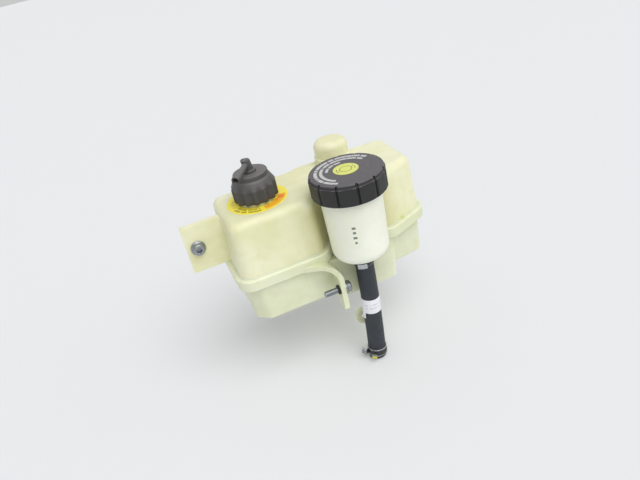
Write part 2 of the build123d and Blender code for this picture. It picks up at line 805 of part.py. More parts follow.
lower_clamp_place = hose_path.length - lower_clamp_lift - clamp_width / 2
lower_hose_clamp = band_clamp(place_on_hose(lower_clamp_place), lower_tang_angles)
lower_hose_clamp.label = "lower_hose_clamp"
export_step(lower_hose_clamp, "parts/lower_hose_clamp.step")

# Wrap label on the hose
with BuildPart() as hose_label:
    with Locations(place_on_hose(hose_label_drop + hose_label_width / 2)):
        Cylinder(hose_radius + clamp_gap + film, hose_label_width)
        Cylinder(hose_radius + clamp_gap, hose_label_width, mode=Mode.SUBTRACT)
hose_label.part.label = "hose_label"
export_step(hose_label.part, "parts/hose_label.step")

# Captive screws: each seat plane lies where the free thread starts, its Z along the thread
retainer_room = retainer_thickness + 2 * retainer_gap
head_seat = -(retainer_room + plate_thickness)
head_dome_radius = head_radius - head_neck


def captive_screw(seat):
    with BuildPart() as screw:
        with BuildSketch(Plane.XZ):
            with BuildLine():
                Polyline(
                    (0, thread_length),
                    (thread_radius - thread_tip, thread_length),
                    (thread_radius, thread_length - thread_tip),
                    (thread_radius, 0),
                    (waist_radius, 0),
                    (waist_radius, head_seat),
                    (head_radius, head_seat),
                    (head_radius, head_seat - flange_thickness),
                    (head_dome_radius, head_seat - flange_thickness - flange_slope),
                    (head_dome_radius, head_seat - head_height + head_edge),
                    (head_dome_radius - head_edge, head_seat - head_height),
                    (0, head_seat - head_height),
                    close=True,
                )
            make_face()
        revolve(axis=Axis.Z)
        with BuildSketch(Plane.XY.offset(head_seat - head_height)):
            RegularPolygon(socket_width / 2, 6, major_radius=False)
        extrude(amount=socket_depth, mode=Mode.SUBTRACT)
    return screw.part.moved(seat.location)


def sleeve(seat):
    with BuildPart() as ring:
        with BuildSketch(Plane.XY.offset(head_seat)):
            Circle(sleeve_radius)
            Circle(sleeve_bore, mode=Mode.SUBTRACT)
        extrude(amount=plate_thickness)
    return ring.part.moved(seat.location)


def retainer(seat):
    with BuildPart() as washer:
        with BuildSketch(Plane.XY.offset(-retainer_thickness - retainer_gap)):
            Circle(retainer_radius)
            Circle(waist_radius + slip_gap, mode=Mode.SUBTRACT)
        extrude(amount=retainer_thickness)
    return washer.part.moved(seat.location)


tab_seat = Plane(origin=(0, 0, 0), x_dir=(1, 0, 0), z_dir=(0, 1, 0))
bracket_seat = Plane(
    origin=(bracket_x - plate_thickness / 2 - retainer_room, bracket_screw_y, bracket_screw_z),
    x_dir=(0, 1, 0),
    z_dir=(-1, 0, 0),
)
for place, seat in {"tab": tab_seat, "bracket": bracket_seat}.items():
    fixings = {
        f"{place}_screw": captive_screw(seat),
        f"{place}_sleeve": sleeve(seat),
        f"{place}_screw_retainer": retainer(seat),
    }
    for name, fixing in fixings.items():
        fixing.label = name
        export_step(fixing, f"parts/{name}.step")
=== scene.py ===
import bpy
import bmesh
import math
from mathutils import Matrix, Vector


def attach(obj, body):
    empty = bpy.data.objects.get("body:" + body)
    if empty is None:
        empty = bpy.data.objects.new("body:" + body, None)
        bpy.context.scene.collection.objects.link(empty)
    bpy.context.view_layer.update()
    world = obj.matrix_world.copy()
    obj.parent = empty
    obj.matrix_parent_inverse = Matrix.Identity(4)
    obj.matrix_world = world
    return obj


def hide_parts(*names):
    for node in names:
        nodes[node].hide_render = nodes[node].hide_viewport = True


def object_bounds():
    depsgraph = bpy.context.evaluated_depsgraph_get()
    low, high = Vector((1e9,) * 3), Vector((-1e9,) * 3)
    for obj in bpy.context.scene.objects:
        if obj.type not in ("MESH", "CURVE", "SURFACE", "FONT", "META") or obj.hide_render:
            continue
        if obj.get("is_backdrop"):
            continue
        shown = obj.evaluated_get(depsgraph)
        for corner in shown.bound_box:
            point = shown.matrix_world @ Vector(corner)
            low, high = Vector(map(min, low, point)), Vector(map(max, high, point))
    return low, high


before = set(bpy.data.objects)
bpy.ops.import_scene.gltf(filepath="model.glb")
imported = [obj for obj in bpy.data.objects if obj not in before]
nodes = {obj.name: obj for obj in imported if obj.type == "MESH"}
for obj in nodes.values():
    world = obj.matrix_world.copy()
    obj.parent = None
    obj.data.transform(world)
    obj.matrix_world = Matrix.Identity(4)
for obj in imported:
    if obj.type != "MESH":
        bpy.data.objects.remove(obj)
cadLow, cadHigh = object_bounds()
scene = bpy.context.scene
scene.view_settings.view_transform = "Standard"
mm = 0.001
perDegree = math.pi / 180
print("frame loaded,", len(nodes), "solids")

# camera, at the photograph's angle
photoCamera = {
    "right": (0.9106, -0.3621, -0.1994),
    "up": (0.3480, 0.4116, 0.8424),
    "look": (0.2230, 0.8364, -0.5008),
    "place": (-0.02235, -0.53497, 0.27611),
    "lens": 34.6, "sensor": 36.0, "clip": (0.01, 50.0),
}
lens = bpy.data.cameras.new("photoCamera")
lens.sensor_fit, lens.sensor_width, lens.lens = "HORIZONTAL", photoCamera["sensor"], photoCamera["lens"]
lens.clip_start, lens.clip_end = photoCamera["clip"]
camera = bpy.data.objects.new("photoCamera", lens)
scene.collection.objects.link(camera)
columns = [photoCamera["right"], photoCamera["up"], tuple(-c for c in photoCamera["look"])]
turn = Matrix(columns).transposed().to_quaternion().to_matrix().to_4x4()
camera.matrix_world = Matrix.Translation(photoCamera["place"]) @ turn
scene.camera = camera


# shader maths: a socket that takes part in Python expressions
class Flow:
    def __init__(self, finish, socket):
        self.finish, self.socket = finish, socket

    def maths(self, operation, first, second=None):
        values = {0: first} if second is None else {0: first, 1: second}
        return self.finish.node("ShaderNodeMath", {"operation": operation}, values)

    def __add__(self, other):
        return self.maths("ADD", self, other)

    def __sub__(self, other):
        return self.maths("SUBTRACT", self, other)

    def __rsub__(self, other):
        return self.maths("SUBTRACT", other, self)

    def __mul__(self, other):
        return self.maths("MULTIPLY", self, other)

    def __truediv__(self, other):
        return self.maths("DIVIDE", self, other)

    def __pow__(self, other):
        return self.maths("POWER", self, other)

    def __mod__(self, other):
        return self.maths("FLOORED_MODULO", self, other)

    def __gt__(self, other):
        return self.maths("GREATER_THAN", self, other)

    def __lt__(self, other):
        return self.maths("LESS_THAN", self, other)

    def __abs__(self):
        return self.maths("ABSOLUTE", self)

    __radd__ = __add__
    __rmul__ = __mul__


# one material: its nodes, its place on the object in millimetres, and its shader
class Finish:
    def __init__(self, name, **fixed):
        self.material = bpy.data.materials.new(name)
        self.material.use_nodes = True
        self.tree = self.material.node_tree
        self.shader = self.tree.nodes["Principled BSDF"]
        for key, value in fixed.items():
            self.shader.inputs[key.replace("_", " ")].default_value = value
        coords = self.node("ShaderNodeTexCoord", {}, {}, "Object")
        scale = {0: coords, "Scale": 1 / mm}
        self.place = self.node("ShaderNodeVectorMath", {"operation": "SCALE"}, scale)
        parts = self.node("ShaderNodeSeparateXYZ", {}, {0: self.place}).socket.node.outputs
        self.x, self.y, self.z = (Flow(self, socket) for socket in parts)

    def node(self, kind, settings, sockets, out=0):
        made = self.tree.nodes.new(kind)
        for key, value in settings.items():
            setattr(made, key, value)
        for key, value in sockets.items():
            if isinstance(value, Flow):
                self.tree.links.new(value.socket, made.inputs[key])
            else:
                made.inputs[key].default_value = value
        return Flow(self, made.outputs[out])

    def feed(self, key, value):
        self.tree.links.new(value.socket, self.shader.inputs[key])

    # lays a tone over the base colour that is already fed
    def over(self, share, tone):
        bare = Flow(self, self.shader.inputs["Base Color"].links[0].from_socket)
        self.feed("Base Color", self.mix(share, bare, tone))

    def noise(self, size, detail=3.0):
        wave = {"Vector": self.place, "Scale": 1 / size, "Detail": detail, "Roughness": 0.55}
        return self.node("ShaderNodeTexNoise", {}, wave)

    def ease(self, value, low, high):
        spread = {"Value": value, "From Min": low, "From Max": high}
        return self.node("ShaderNodeMapRange", {"interpolation_type": "SMOOTHSTEP"}, spread)

    def mix(self, share, first, second):
        return self.node("ShaderNodeMix", {"data_type": "RGBA"}, {0: share, 6: first, 7: second}, 2)

    def bump(self, height, depth, strength, under=None):
        values = {"Height": height, "Distance": depth * mm, "Strength": strength}
        if under:
            values["Normal"] = under
        return self.node("ShaderNodeBump", {}, values)

    # distance from an upright axis
    def radiusFrom(self, centre):
        dx, dy = self.x - centre[0], self.y - centre[1]
        return (dx * dx + dy * dy) ** 0.5

    # angle round an upright axis, in degrees from 0 to 360
    def angleRound(self, centre):
        dx, dy = self.x - centre[0], self.y - centre[1]
        return dx.maths("ARCTAN2", dy, dx) / perDegree % 360

    def between(self, value, low, high):
        return (value > low) * (value < high)

    # one row of plain dashes: along runs in millimetres, across lies between low and high,
    # and each cell is a stroke or a space
    def dashRow(self, along, across, low, high, cell, seed, fill=0.62, stroke=0.6):
        step = along / cell
        index = step.maths("FLOOR", step) + seed
        spot = self.node("ShaderNodeTexWhiteNoise", {"noise_dimensions": "1D"}, {"W": index}, "Value")
        return (spot < fill) * (step % 1 < stroke) * self.between(across, low, high)


def colour(red, green, blue):
    def linear(value):
        value /= 255
        return value / 12.92 if value <= 0.04045 else ((value + 0.055) / 1.055) ** 2.4
    return (linear(red), linear(green), linear(blue), 1.0)


# places on the object that several pieces share, in millimetres
cupAxis = (140.0, -66.5)
neckAxis = (66.7, -12.3)

# stage and light
stage = {"gap": 0.4, "floor": 12.0, "floorColour": colour(226, 228, 230)}
bm = bmesh.new()
bmesh.ops.create_grid(bm, x_segments=2, y_segments=2, size=stage["floor"] / 2)
bmesh.ops.translate(bm, verts=bm.verts[:], vec=(0, 0, cadLow.z - stage["gap"] * mm))
floorMesh = bpy.data.meshes.new("floor")
bm.to_mesh(floorMesh)
bm.free()
floor = bpy.data.objects.new("floor", floorMesh)
scene.collection.objects.link(floor)
paleFloor = Finish("paleFloor", Base_Color=stage["floorColour"], Roughness=0.9)
floorMesh.materials.append(paleFloor.material)
floor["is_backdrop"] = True

light = {
    "sky": 0.58, "soft": 50.0,
    "key": 1.7, "keyTurn": (31, 8, 0),
    "fill": 0.22, "fillTurn": (58, 0, 62),
}
world = bpy.data.worlds.new("studio")
world.use_nodes = True
world.node_tree.nodes["Background"].inputs["Color"].default_value = (1, 1, 1, 1)
world.node_tree.nodes["Background"].inputs["Strength"].default_value = light["sky"]
scene.world = world
for name in ["key", "fill"]:
    lamp = bpy.data.lights.new(name, "SUN")
    lamp.energy, lamp.angle = light[name], math.radians(light["soft"])
    holder = bpy.data.objects.new(name, lamp)
    holder.rotation_euler = [math.radians(a) for a in light[name + "Turn"]]
    scene.collection.objects.link(holder)
print("camera, floor and light set")


# pale plastic: broad mottling and small clouds of colour, a fine grain over a slow swell
def tankPlastic(name, fresh, aged, shade):
    finish = Finish(
        name, IOR=1.5, Subsurface_Weight=0.25, Subsurface_Radius=(1.0, 0.8, 0.45), Subsurface_Scale=0.004
    )
    mottled = finish.ease(finish.noise(46.0, 3.0), 0.35, 0.7)
    cloud = finish.ease(finish.noise(9.0, 4.0), 0.4, 0.75)
    tone = finish.mix(mottled, fresh, aged)
    finish.feed("Base Color", finish.mix(cloud * 0.35, tone, shade))
    finish.feed("Roughness", 0.36 + 0.16 * finish.noise(5.0, 3.0))
    grain = finish.noise(0.55, 2.0)
    swell = finish.noise(14.0, 1.0)
    finish.feed("Normal", finish.bump(grain, 0.05, 0.35, finish.bump(swell, 0.5, 0.25)))
    return finish


upperTones = colour(238, 237, 206), colour(228, 227, 184), colour(220, 218, 166)
lowerTones = colour(229, 232, 203), colour(220, 224, 189), colour(210, 214, 175)
cupTones = colour(246, 247, 232), colour(240, 241, 222), colour(235, 237, 214)
upperPlastic = tankPlastic("upperPlastic", *upperTones)
lowerPlastic = tankPlastic("lowerPlastic", *lowerTones)
strainerPlastic = tankPlastic("strainerPlastic", *cupTones)
cupPlastic = tankPlastic("cupPlastic", *cupTones)

# painted light: a greenish patch on the weld, near the right end of the front, where light shows through the
# gap between the shells
gapGlow = {
    "spot": (193.9, -47.5, -25.2), "core": 1.2, "size": 6.0, "ragged": 3.0, "share": 0.8,
    "tint": colour(204, 208, 110),
}
for finish in [upperPlastic, lowerPlastic]:
    dx, dy, dz = (along - centre for along, centre in zip((finish.x, finish.y, finish.z), gapGlow["spot"]))
    reach = (dx * dx + dy * dy + dz * dz) ** 0.5
    share = 1 - finish.ease(reach + gapGlow["ragged"] * finish.noise(2.0), gapGlow["core"], gapGlow["size"])
    finish.over(share * gapGlow["share"], gapGlow["tint"])

# painted shade: a deeper tone of the upper shell in the hollow round the cup, where the cup and the recess
# shade it
hollowShade = {"radii": (33.0, 64.0), "heights": (10.0, 27.0), "share": 0.7, "tint": colour(208, 205, 152)}
near = 1 - upperPlastic.ease(upperPlastic.radiusFrom(cupAxis), *hollowShade["radii"])
below = 1 - upperPlastic.ease(upperPlastic.z, *hollowShade["heights"])
upperPlastic.over(near * below * hollowShade["share"], hollowShade["tint"])

# four level marks on the cup's front
levelMarks = {
    "angle": 244.0, "heights": [9.2, 4.4, -0.8, -6.0], "widths": [3.4, 2.8, 3.6, 2.2], "thick": 2.3,
    "radius": 28.0, "outside": 26.6, "share": 0.8, "ink": colour(52, 78, 62),
}
across = abs(cupPlastic.angleRound(cupAxis) - levelMarks["angle"]) * (levelMarks["radius"] * perDegree)
ticks = sum(
    (across < width / 2) * (abs(cupPlastic.z - height) < levelMarks["thick"] / 2)
    for height, width in zip(levelMarks["heights"], levelMarks["widths"])
)
ticks = ticks * (cupPlastic.radiusFrom(cupAxis) > levelMarks["outside"])
cupPlastic.over(ticks * levelMarks["share"], levelMarks["ink"])


# dark plastic, lighter on what faces up: partly dust, partly a painted sheen of the bright sky on the top
def darkPlastic(name, deep, dustAndSheenTone, dustAndSheenShare):
    finish = Finish(name, IOR=1.5)
    normal = finish.node("ShaderNodeTexCoord", {}, {}, "Normal")
    up = finish.node("ShaderNodeSeparateXYZ", {}, {0: normal}, 2)
    # painted sheen and dust together: lighter where the face points up
    dustAndSheen = finish.ease(up, 0.1, 0.95) * (0.75 + 0.5 * finish.noise(6.0, 4.0)) * dustAndSheenShare
    finish.feed("Base Color", finish.mix(dustAndSheen, deep, dustAndSheenTone))
    finish.feed("Roughness", 0.42 + 0.2 * finish.noise(2.2, 4.0))
    finish.feed("Normal", finish.bump(finish.noise(0.35, 2.0), 0.06, 0.5))
    return finish


capPlastic = darkPlastic("capPlastic", colour(33, 33, 33), colour(98, 95, 98), 0.95)
fillerPlastic = darkPlastic("fillerPlastic", colour(71, 70, 69), colour(119, 116, 116), 0.75)

# print on the cup's cap: rows of inner and outer radius, first and last angle, and cell
capPrint = {
    "rows": [(25.9, 29.0, 24, 232, 1.15), (21.0, 23.9, 24, 224, 1.1), (15.9, 18.5, 84, 160, 1.0)],
    "seedStep": 70, "fill": 0.84, "stroke": 0.68, "above": 53.9, "share": 0.95, "ink": colour(228, 228, 228),
}
capRadius, capAngle = capPlastic.radiusFrom(cupAxis), capPlastic.angleRound(cupAxis)
capDashes = 0
for index, (low, high, start, end, cell) in enumerate(capPrint["rows"]):
    along = capAngle * ((low + high) / 2 * perDegree)
    seed = capPrint["seedStep"] * index
    row = capPlastic.dashRow(along, capRadius, low, high, cell, seed, capPrint["fill"], capPrint["stroke"])
    capDashes = capPlastic.between(capAngle, start, end) * row + capDashes
capDashes = capDashes * (capPlastic.z > capPrint["above"])
capPlastic.over(capDashes * capPrint["share"], capPrint["ink"])

hoseRubber = Finish("hoseRubber", IOR=1.5)
rubberTone = hoseRubber.mix(hoseRubber.noise(4.0, 5.0), colour(32, 36, 41), colour(55, 62, 70))
hoseRubber.feed("Base Color", rubberTone)
hoseRubber.feed("Roughness", 0.5 + 0.2 * hoseRubber.noise(3.0))
hoseRubber.feed("Normal", hoseRubber.bump(hoseRubber.noise(0.5, 3.0), 0.08, 0.5))

softRubber = Finish("softRubber", Roughness=0.7)
softRubber.feed("Base Color", softRubber.mix(softRubber.noise(2.0), colour(30, 30, 31), colour(46, 46, 48)))

zincSteel = Finish("zincSteel", Metallic=1.0)
zincTone = zincSteel.mix(zincSteel.noise(1.2, 4.0), colour(128, 133, 138), colour(182, 186, 190))
zincSteel.feed("Base Color", zincTone)
zincSteel.feed("Roughness", 0.32 + 0.22 * zincSteel.noise(0.8, 3.0))
zincSteel.feed("Normal", zincSteel.bump(zincSteel.noise(0.3), 0.02, 0.5))

# blackened spring band, with a painted highlight along its rims, worn bright on the bent plates, with a dab
# of paint on one plate
spring = {
    "metal": 0.9, "rimFrom": 3.2, "plateFrom": 13.6, "wearAndHighlight": colour(206, 210, 213),
    "paintFrom": 11.0, "paintBelow": 0.4, "paintShare": 0.9, "paintMetal": 0.1, "paint": colour(226, 214, 60),
}


def springBand(name, centre, lean, plateShare, rimHighlightShare, dab=None):
    finish = Finish(name, Metallic=spring["metal"])
    along = finish.z - centre[2] + (finish.x - centre[0]) * lean
    radius = finish.radiusFrom(centre)
    # painted highlight along the band's upper and lower rims
    rimHighlights = (abs(along) > spring["rimFrom"]) * rimHighlightShare * finish.ease(finish.noise(1.1, 4.0), 0.3, 0.5)
    plates = (radius > spring["plateFrom"]) * plateShare
    dark = finish.mix(finish.noise(1.5, 4.0), colour(52, 52, 54), colour(92, 92, 95))
    finish.feed("Base Color", finish.mix(rimHighlights.maths("MAXIMUM", rimHighlights, plates), dark, spring["wearAndHighlight"]))
    finish.feed("Roughness", 0.34 + 0.2 * finish.noise(0.9))
    finish.feed("Normal", finish.bump(finish.noise(0.4, 2.0), 0.03, 0.5))
    if dab:
        painted = finish.between(finish.angleRound(centre), *dab)
        painted = painted * (along < spring["paintBelow"]) * (radius > spring["paintFrom"])
        finish.over(painted * spring["paintShare"], spring["paint"])
        finish.feed("Metallic", spring["metal"] - (spring["metal"] - spring["paintMetal"]) * painted)
    return finish


upperSpring = springBand("upperSpring", (*cupAxis, -40.5), lean=0.0, plateShare=0.85, rimHighlightShare=0.3)
lowerSpring = springBand(
    "lowerSpring", (135.9, -66.5, -151.0), lean=0.074, plateShare=0.45, rimHighlightShare=1.0, dab=(222, 243)
)

# print on the labels: a row is low, high, cell and seed
wrapPrint = {
    "axis": (139.2, -66.5), "radius": 9.4, "angles": (205, 318),
    "rows": [(-91.2, -89.6, 1.4, 3), (-95.0, -93.2, 1.1, 60)], "share": 0.5, "ink": colour(150, 156, 168),
}
whiteFilm = Finish("whiteFilm", Roughness=0.45)
wrapAngle = whiteFilm.angleRound(wrapPrint["axis"])
wrapAlong = wrapAngle * (wrapPrint["radius"] * perDegree)
greyDashes = sum(whiteFilm.dashRow(wrapAlong, whiteFilm.z, *row) for row in wrapPrint["rows"])
greyDashes = greyDashes * whiteFilm.between(wrapAngle, *wrapPrint["angles"])
wrapTone = whiteFilm.mix(whiteFilm.noise(3.0), colour(228, 229, 236), colour(240, 241, 245))
whiteFilm.feed("Base Color", wrapTone)
whiteFilm.over(greyDashes * wrapPrint["share"], wrapPrint["ink"])
whiteFilm.feed("Normal", whiteFilm.bump(whiteFilm.noise(2.5, 2.0), 0.2, 0.4))

ringPrint = {
    "radius": 24.0,
    "black": (197, 262), "blackRows": [(24.4, 27.2, 1.7, 5), (20.4, 22.8, 1.4, 40)], "blackFill": 0.85,
    "faint": (140, 190), "faintRow": (22.0, 25.4, 1.6, 80),
    "field": (272, 344), "fieldRadii": (19.6, 27.4), "fieldRow": (20.4, 23.0, 1.9, 11),
    "spot": (322, 338), "spotRadii": (21.4, 26.2),
}
yellowFilm = Finish("yellowFilm", Roughness=0.42)
ringRadius, ringAngle = yellowFilm.radiusFrom(neckAxis), yellowFilm.angleRound(neckAxis)
ringAlong = ringAngle * (ringPrint["radius"] * perDegree)
field = yellowFilm.between(ringAngle, *ringPrint["field"])
field = field * yellowFilm.between(ringRadius, *ringPrint["fieldRadii"])
redSpot = yellowFilm.between(ringAngle, *ringPrint["spot"])
redSpot = redSpot * yellowFilm.between(ringRadius, *ringPrint["spotRadii"])
fieldDashes = field * yellowFilm.dashRow(ringAlong, ringRadius, *ringPrint["fieldRow"])
faintDashes = yellowFilm.dashRow(ringAlong, ringRadius, *ringPrint["faintRow"])
faintDashes = faintDashes * yellowFilm.between(ringAngle, *ringPrint["faint"])
blackDashes = sum(
    yellowFilm.dashRow(ringAlong, ringRadius, *row, ringPrint["blackFill"]) for row in ringPrint["blackRows"]
)
blackDashes = blackDashes * yellowFilm.between(ringAngle, *ringPrint["black"])
ringTone = yellowFilm.mix(yellowFilm.noise(8.0), colour(250, 236, 84), colour(250, 229, 66))
yellowFilm.feed("Base Color", ringTone)
for layer, share, ink in [
    (field, 0.75, colour(250, 160, 40)),
    (redSpot, 0.6, colour(232, 84, 40)),
    (fieldDashes, 0.6, colour(196, 84, 30)),
    (faintDashes, 0.35, colour(120, 96, 30)),
    (blackDashes, 0.85, colour(48, 42, 20)),
]:
    yellowFilm.over(layer * share, ink)
yellowFilm.feed("Normal", yellowFilm.bump(yellowFilm.noise(7.0, 2.0), 0.25, 0.4))

discPrint = {
    "ring": (5.2, 5.9), "arcs": (8.0, 8.7), "arcAngles": [(150, 205), (330, 358), (8, 26)],
    "share": 0.85, "ink": colour(74, 76, 26),
}
discFilm = Finish("discFilm", Roughness=0.4)
discRadius, discAngle = discFilm.radiusFrom(cupAxis), discFilm.angleRound(cupAxis)
shortArcs = sum(discFilm.between(discAngle, *angles) for angles in discPrint["arcAngles"])
shortArcs = shortArcs * discFilm.between(discRadius, *discPrint["arcs"])
discLines = discFilm.between(discRadius, *discPrint["ring"]) + shortArcs
discTone = discFilm.mix(discFilm.noise(4.0), colour(214, 219, 108), colour(225, 227, 130))
discFilm.feed("Base Color", discTone)
discFilm.over(discLines * discPrint["share"], discPrint["ink"])

# solids that stay as they are, apart from their finish
finishOf = {
    "tank_upper_shell": upperPlastic, "tank_lower_shell": lowerPlastic, "fluid_cup": cupPlastic,
    "cup_strainer": strainerPlastic, "cup_diaphragm": softRubber, "filler_cap_seal": softRubber,
    "cap_disc_label": discFilm, "tab_sleeve": zincSteel, "bracket_sleeve": zincSteel,
    "tab_screw_retainer": softRubber, "bracket_screw_retainer": softRubber,
}
for name, finish in finishOf.items():
    nodes[name].data.materials.clear()
    nodes[name].data.materials.append(finish.material)
print("finishes given to", len(finishOf), "solids")


# a finished bmesh, in millimetres, becomes a piece that rides on a body
def place(bm, name, body, finish, sharp=35.0):
    bmesh.ops.scale(bm, vec=(mm, mm, mm), verts=bm.verts[:])
    mesh = bpy.data.meshes.new(name)
    bm.to_mesh(mesh)
    bm.free()
    mesh.shade_smooth()
    mesh.set_sharp_from_angle(angle=math.radians(sharp))
    mesh.materials.append(finish.material)
    piece = bpy.data.objects.new(name, mesh)
    scene.collection.objects.link(piece)
    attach(piece, body)
    print(name, "made,", len(mesh.polygons), "faces")
    return piece


# hose: a tube along the route's own curve
hose = {
    "route": [(140.0, -66.5, -35.0), (140.0, -66.5, -96.0), (135.4, -66.5, -158.0)],
    "radius": 9.0, "wall": 3.0, "sides": 48, "length": 123.1, "resolution": 24,
}
line = bpy.data.curves.new("hoseRoute", "CURVE")
line.dimensions, line.resolution_u = "3D", hose["resolution"]
spline = line.splines.new("NURBS")
spline.points.add(len(hose["route"]) - 1)
for point, spot in zip(spline.points, hose["route"]):
    point.co = (*spot, 1.0)
spline.order_u, spline.use_endpoint_u = 3, True
carrier = bpy.data.objects.new("hoseRoute", line)
scene.collection.objects.link(carrier)
bpy.context.view_layer.update()
routeMesh = bpy.data.meshes.new_from_object(carrier)
hosePath = [vert.co.copy() for vert in routeMesh.vertices]
bpy.data.objects.remove(carrier)
bpy.data.meshes.remove(routeMesh)

bm = bmesh.new()
loop = bmesh.ops.create_circle(bm, segments=hose["sides"], radius=hose["radius"])["verts"]
bmesh.ops.translate(bm, verts=loop, vec=hosePath[0])
edges = bm.edges[:]
for before, after in zip(hosePath, hosePath[1:]):
    grown = bmesh.ops.extrude_edge_only(bm, edges=edges)["geom"]
    loop = [item for item in grown if isinstance(item, bmesh.types.BMVert)]
    edges = [item for item in grown if isinstance(item, bmesh.types.BMEdge)]
    bmesh.ops.translate(bm, verts=loop, vec=after - before)
bmesh.ops.recalc_face_normals(bm, faces=bm.faces[:])
bmesh.ops.solidify(bm, geom=bm.faces[:], thickness=hose["wall"])
hosePiece = place(bm, "outletHose", "tank", hoseRubber)
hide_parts("outlet_hose")

# distances that count as joined, and as lying on the axis
joined, onAxis = 0.001, 0.01


# turned form: (radius, height) pairs spun round an upright axis
def turned(bm, profile, centre, steps, closed=False):
    verts = [bm.verts.new((centre[0] + radius, centre[1], height)) for radius, height in profile]
    pairs = list(zip(verts, verts[1:])) + ([(verts[-1], verts[0])] if closed else [])
    edges = [bm.edges.new(pair) for pair in pairs]
    bmesh.ops.spin(
        bm, geom=verts + edges, cent=(*centre, 0), axis=(0, 0, 1),
        angle=2 * math.pi, steps=steps, use_merge=True,
    )
    bmesh.ops.remove_doubles(bm, verts=bm.verts[:], dist=joined)
    bmesh.ops.recalc_face_normals(bm, faces=bm.faces[:])


# moves each vertex in or out to the radius that the rule gives for its radius, angle and height
def reshape(bm, centre, rule):
    for vert in bm.verts:
        dx, dy = vert.co.x - centre[0], vert.co.y - centre[1]
        radius = math.hypot(dx, dy)
        if radius > onAxis:
            share = rule(radius, math.degrees(math.atan2(dy, dx)) % 360, vert.co.z) / radius
            vert.co.x, vert.co.y = centre[0] + dx * share, centre[1] + dy * share


# a box with bevelled edges, in its own frame, then set in place by a matrix
def softBox(bm, size, edge, matrix):
    verts = bmesh.ops.create_cube(bm, size=1.0)["verts"]
    bmesh.ops.scale(bm, vec=size, verts=verts)
    edges = list({item for vert in verts for item in vert.link_edges})
    bevelled = bmesh.ops.bevel(
        bm, geom=edges, offset=edge, segments=2, profile=0.5, affect="EDGES", material=-1
    )
    verts = list({vert for face in bevelled["faces"] for vert in face.verts})
    bmesh.ops.transform(bm, matrix=matrix, verts=verts)


# a closed ridge that climbs round an upright axis, from (radius, height) pairs of its section
def helix(bm, centre, section, start, pitch, turns, stepsPerTurn):
    verts = [bm.verts.new((centre[0] + radius, centre[1], start + rise)) for radius, rise in section]
    edges = [bm.edges.new(pair) for pair in zip(verts, verts[1:] + verts[:1])]
    end = bmesh.ops.contextual_create(bm, geom=edges)["faces"]
    steps = round(stepsPerTurn * turns)
    bmesh.ops.spin(
        bm, geom=end, cent=(*centre, 0), axis=(0, 0, 1), dvec=(0, 0, pitch * turns / steps),
        angle=2 * math.pi * turns, steps=steps,
    )
    bmesh.ops.recalc_face_normals(bm, faces=bm.faces[:])


# wide cap of the cup: flats between narrow grooves under a stepped rim
wideCap = {
    "profile": [
        (0.0, 54.0), (11.0, 54.0), (22.0, 54.0), (32.4, 54.0), (33.2, 53.85), (33.7, 53.4), (33.95, 52.7),
        (34.25, 51.2), (34.4, 50.75), (34.75, 50.6), (35.0, 50.3), (35.0, 49.6), (35.0, 42.0), (35.0, 35.0),
        (34.8, 34.3), (34.4, 34.0), (31.0, 34.0), (30.3, 34.6), (30.3, 43.0), (30.3, 52.0), (0.0, 52.0),
    ],
    "grooves": 12, "start": 22.0, "halfWidth": 1.1, "slope": 0.7, "depth": 1.6, "flat": 34.6,
    "stepsPerFlat": 24, "cutFrom": 31.5, "cutAbove": 34.2, "crown": 33.5, "crownShare": 0.6,
}


def grooved(radius, angle, height):
    pitch = 360 / wideCap["grooves"]
    phase = (angle - wideCap["start"]) % pitch
    gap = min(phase, pitch - phase)
    if radius < wideCap["cutFrom"] or height < wideCap["cutAbove"]:
        return radius
    share = (wideCap["halfWidth"] + wideCap["slope"] - gap) / wideCap["slope"]
    cut = wideCap["depth"] * min(1.0, max(0.0, share))
    if radius < wideCap["crown"]:
        cut *= wideCap["crownShare"]
    side = wideCap["flat"] / math.cos(math.radians(phase - pitch / 2))
    return min(radius, side) - cut


bm = bmesh.new()
turned(bm, wideCap["profile"], cupAxis, wideCap["grooves"] * wideCap["stepsPerFlat"])
reshape(bm, cupAxis, grooved)
capPiece = place(bm, "wideScrewCap", "cup_cover", capPlastic)
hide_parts("cup_cap")

# filler cap: scalloped skirt, cone and top disc
fillerCap = {
    "profile": [
        (0.0, 59.0), (8.0, 59.0), (15.4, 59.0), (16.1, 58.75), (16.4, 58.1), (16.4, 55.2), (16.6, 54.6),
        (17.4, 54.0), (17.9, 53.2), (19.4, 50.4), (20.9, 47.4), (21.35, 46.6), (21.5, 45.8), (21.5, 44.6),
        (21.5, 43.4), (21.5, 42.0), (21.5, 38.0), (21.5, 34.2), (21.2, 33.4), (20.6, 33.0), (18.4, 33.0),
        (17.6, 33.6), (17.6, 47.5), (12.0, 47.5), (12.0, 56.0), (0.0, 56.0),
    ],
    "flutes": 14, "depth": 2.2, "fluteFrom": 20.2, "fluteTop": 48.6, "fluteFade": 4.5, "stepsPerFlute": 16,
}


def scalloped(radius, angle, height):
    if radius < fillerCap["fluteFrom"] or height > fillerCap["fluteTop"]:
        return radius
    wave = 0.5 - 0.5 * math.cos(math.radians(angle * fillerCap["flutes"]))
    fade = min(1.0, (fillerCap["fluteTop"] - height) / fillerCap["fluteFade"])
    return radius - fillerCap["depth"] * fade * wave


bm = bmesh.new()
turned(bm, fillerCap["profile"], neckAxis, fillerCap["flutes"] * fillerCap["stepsPerFlute"])
reshape(bm, neckAxis, scalloped)
fillerPiece = place(bm, "fillerScrewCap", "filler_cover", fillerPlastic)
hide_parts("filler_cap")

# ring label round the neck, with a thin lifted edge
ringLabel = {"film": [(17.3, 30.02), (17.4, 30.28), (28.9, 30.28), (29.3, 30.2), (29.4, 30.02)], "steps": 96}
bm = bmesh.new()
turned(bm, ringLabel["film"], neckAxis, ringLabel["steps"], closed=True)
ringPiece = place(bm, "neckRingLabel", "tank", yellowFilm)
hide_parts("neck_label")

